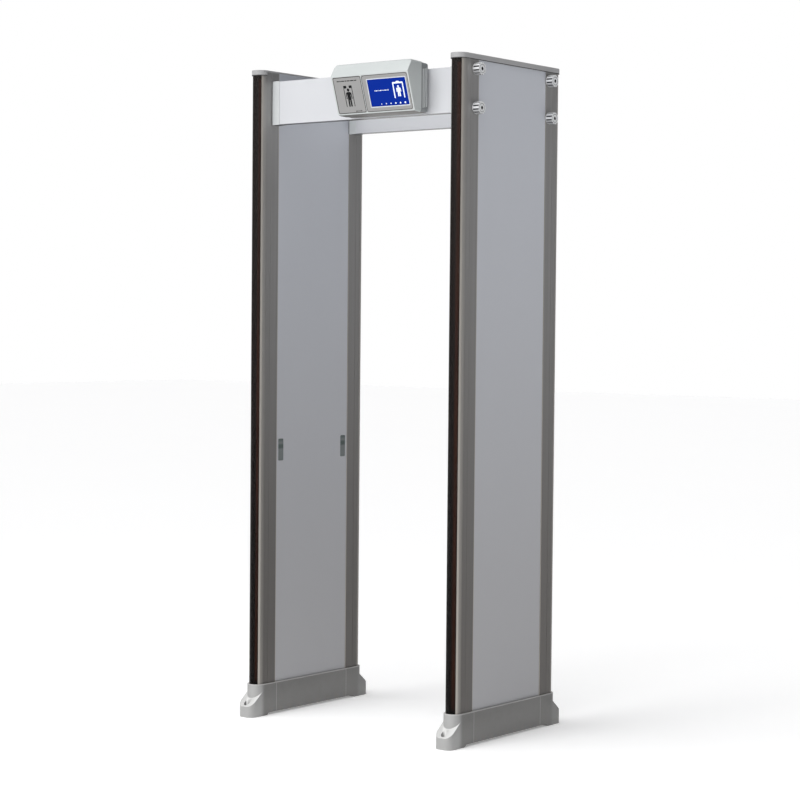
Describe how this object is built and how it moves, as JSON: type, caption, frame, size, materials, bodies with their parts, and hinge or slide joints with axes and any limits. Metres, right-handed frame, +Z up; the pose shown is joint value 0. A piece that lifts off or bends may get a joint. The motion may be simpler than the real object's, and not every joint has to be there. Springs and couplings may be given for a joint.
{
  "type": "walk-through metal detector gate",
  "caption": "Walk-through security gate: two deep side panels with light strips and floor-anchored feet, joined by white cross beams, with a tilted display console on the front beam.",
  "frame": {"origin": "on the floor, midway between the two side panels and midway between the front and rear anchor holes", "axes": "+X across the passage to the right panel, +Y through the passage to the rear, away from the console side, +Z up"},
  "size_m": [0.956, 0.6603, 2.22],
  "materials": {
    "column": "grey powder coat over extruded aluminium, satin",
    "board": "pale blue-grey laminate, satin",
    "core": "rigid foam",
    "coil": "enamelled copper wire bundle",
    "light_cover": "smoked translucent acrylic, gloss",
    "circuit_board": "green board with parts",
    "cap": "moulded, satin",
    "foot": "moulded, fine grain",
    "sensor_window": "dark infrared filter, gloss",
    "black_plastic": "moulded, satin",
    "beam": "white powder coat, satin",
    "collar": "moulded, satin",
    "insert": "machined",
    "knob": "bright satin",
    "washer": "plated",
    "bracket": "satin",
    "console_shell": "moulded, semi-gloss",
    "membrane": "printed film, satin",
    "bezel": "moulded, satin",
    "display": "lit liquid crystal panel",
    "metal_case": "folded sheet",
    "rocker": "moulded, gloss",
    "screw": "plated"
  },
  "bodies": {
    "gate": {"right_front_column": "column", "right_rear_column": "column", "right_outer_board": "board", "right_inner_board": "board", "right_core": "core", "right_coil": "coil", "right_front_lens": "light_cover", "right_rear_lens": "light_cover", "right_light_boards": "circuit_board", "right_cap": "cap", "right_front_foot": "foot", "right_rear_foot": "foot", "left_front_column": "column", "left_rear_column": "column", "left_outer_board": "board", "left_inner_board": "board", "left_core": "core", "left_coil": "coil", "left_front_lens": "light_cover", "left_rear_lens": "light_cover", "left_light_boards": "circuit_board", "left_cap": "cap", "left_front_foot": "foot", "left_rear_foot": "foot", "sensor_windows": "sensor_window", "sensor_modules": "black_plastic", "front_beam": "beam", "rear_beam": "beam", "front_beam_collars": "collar", "rear_beam_collars": "collar", "beam_inserts": "insert", "console_bracket": "bracket", "console_rear_shell": "console_shell", "console_front_shell": "console_shell", "membrane_plate": "membrane", "display_bezel": "bezel", "display": "display", "main_board": "circuit_board", "power_supply": "metal_case", "sounder": "black_plastic", "power_inlet": "black_plastic", "console_screws": "screw", "cap_screws": "screw"},
    "right_front_upper_washer": {"right_front_upper_washer": "washer"},
    "right_front_upper_knob": {"right_front_upper_knob": "knob"},
    "right_front_lower_washer": {"right_front_lower_washer": "washer"},
    "right_front_lower_knob": {"right_front_lower_knob": "knob"},
    "right_rear_upper_washer": {"right_rear_upper_washer": "washer"},
    "right_rear_upper_knob": {"right_rear_upper_knob": "knob"},
    "right_rear_lower_washer": {"right_rear_lower_washer": "washer"},
    "right_rear_lower_knob": {"right_rear_lower_knob": "knob"},
    "left_front_upper_washer": {"left_front_upper_washer": "washer"},
    "left_front_upper_knob": {"left_front_upper_knob": "knob"},
    "left_front_lower_washer": {"left_front_lower_washer": "washer"},
    "left_front_lower_knob": {"left_front_lower_knob": "knob"},
    "left_rear_upper_washer": {"left_rear_upper_washer": "washer"},
    "left_rear_upper_knob": {"left_rear_upper_knob": "knob"},
    "left_rear_lower_washer": {"left_rear_lower_washer": "washer"},
    "left_rear_lower_knob": {"left_rear_lower_knob": "knob"},
    "power_rocker": {"power_rocker": "rocker"}
  },
  "joints": [
    {"name": "right_front_upper_travel", "type": "slide", "parent": "gate", "child": "right_front_upper_washer", "axis": [1, 0, 0], "range_m": [0, 0.0101]},
    {"name": "right_front_upper_turn", "type": "hinge", "parent": "right_front_upper_washer", "child": "right_front_upper_knob", "pos_m": [0.452, -0.207, 2.172], "axis": [1, 0, 0], "range_deg": [0, 2880]},
    {"name": "right_front_lower_travel", "type": "slide", "parent": "gate", "child": "right_front_lower_washer", "axis": [1, 0, 0], "range_m": [0, 0.0101]},
    {"name": "right_front_lower_turn", "type": "hinge", "parent": "right_front_lower_washer", "child": "right_front_lower_knob", "pos_m": [0.452, -0.207, 2.048], "axis": [1, 0, 0], "range_deg": [0, 2880]},
    {"name": "right_rear_upper_travel", "type": "slide", "parent": "gate", "child": "right_rear_upper_washer", "axis": [1, 0, 0], "range_m": [0, 0.0101]},
    {"name": "right_rear_upper_turn", "type": "hinge", "parent": "right_rear_upper_washer", "child": "right_rear_upper_knob", "pos_m": [0.452, 0.207, 2.172], "axis": [1, 0, 0], "range_deg": [0, 2880]},
    {"name": "right_rear_lower_travel", "type": "slide", "parent": "gate", "child": "right_rear_lower_washer", "axis": [1, 0, 0], "range_m": [0, 0.0101]},
    {"name": "right_rear_lower_turn", "type": "hinge", "parent": "right_rear_lower_washer", "child": "right_rear_lower_knob", "pos_m": [0.452, 0.207, 2.048], "axis": [1, 0, 0], "range_deg": [0, 2880]},
    {"name": "left_front_upper_travel", "type": "slide", "parent": "gate", "child": "left_front_upper_washer", "axis": [-1, 0, 0], "range_m": [0, 0.0101]},
    {"name": "left_front_upper_turn", "type": "hinge", "parent": "left_front_upper_washer", "child": "left_front_upper_knob", "pos_m": [-0.452, -0.207, 2.172], "axis": [-1, 0, 0], "range_deg": [0, 2880]},
    {"name": "left_front_lower_travel", "type": "slide", "parent": "gate", "child": "left_front_lower_washer", "axis": [-1, 0, 0], "range_m": [0, 0.0101]},
    {"name": "left_front_lower_turn", "type": "hinge", "parent": "left_front_lower_washer", "child": "left_front_lower_knob", "pos_m": [-0.452, -0.207, 2.048], "axis": [-1, 0, 0], "range_deg": [0, 2880]},
    {"name": "left_rear_upper_travel", "type": "slide", "parent": "gate", "child": "left_rear_upper_washer", "axis": [-1, 0, 0], "range_m": [0, 0.0101]},
    {"name": "left_rear_upper_turn", "type": "hinge", "parent": "left_rear_upper_washer", "child": "left_rear_upper_knob", "pos_m": [-0.452, 0.207, 2.172], "axis": [-1, 0, 0], "range_deg": [0, 2880]},
    {"name": "left_rear_lower_travel", "type": "slide", "parent": "gate", "child": "left_rear_lower_washer", "axis": [-1, 0, 0], "range_m": [0, 0.0101]},
    {"name": "left_rear_lower_turn", "type": "hinge", "parent": "left_rear_lower_washer", "child": "left_rear_lower_knob", "pos_m": [-0.452, 0.207, 2.048], "axis": [-1, 0, 0], "range_deg": [0, 2880]},
    {"name": "power_switch", "type": "hinge", "parent": "gate", "child": "power_rocker", "pos_m": [-0.0335, -0.248, 2.118], "axis": [0, 1, 0], "range_deg": [-20, 0]}
  ],
  "couplings": [
    {"joint": "right_front_upper_travel", "follows": "right_front_upper_turn", "m_per_rad": 0.00019894},
    {"joint": "right_front_lower_travel", "follows": "right_front_lower_turn", "m_per_rad": 0.00019894},
    {"joint": "right_rear_upper_travel", "follows": "right_rear_upper_turn", "m_per_rad": 0.00019894},
    {"joint": "right_rear_lower_travel", "follows": "right_rear_lower_turn", "m_per_rad": 0.00019894},
    {"joint": "left_front_upper_travel", "follows": "left_front_upper_turn", "m_per_rad": 0.00019894},
    {"joint": "left_front_lower_travel", "follows": "left_front_lower_turn", "m_per_rad": 0.00019894},
    {"joint": "left_rear_upper_travel", "follows": "left_rear_upper_turn", "m_per_rad": 0.00019894},
    {"joint": "left_rear_lower_travel", "follows": "left_rear_lower_turn", "m_per_rad": 0.00019894}
  ]
}
